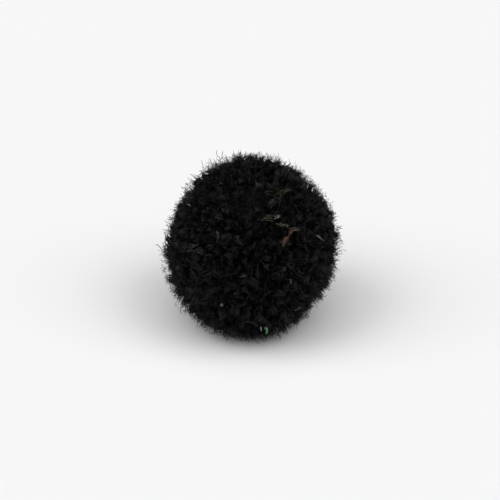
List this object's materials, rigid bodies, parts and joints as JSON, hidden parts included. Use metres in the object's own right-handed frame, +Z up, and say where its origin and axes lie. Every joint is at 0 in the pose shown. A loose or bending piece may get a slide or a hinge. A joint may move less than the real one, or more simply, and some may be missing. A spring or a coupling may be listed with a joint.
{
  "type": "pom-pom",
  "caption": "Small craft pom-pom: a soft ball of cut black chenille pile, trimmed nearly round, with a fuzzy tufted surface and a small pressed spot that it rests on or is glued by.",
  "frame": {"origin": "on the surface that the ball rests on, under the middle of its box", "axes": "+Z up, away from the pressed spot; +X to the right and +Y away from the viewer in the picture; the ball is a little narrower along X than along Y"},
  "size_m": [0.0126, 0.0136, 0.0125],
  "materials": {
    "black_pile": "cut synthetic chenille pile dyed black, matt, with a faint gleam on single fibres"
  },
  "bodies": {
    "root": {"pile_ball": "black_pile"}
  },
  "joints": []
}
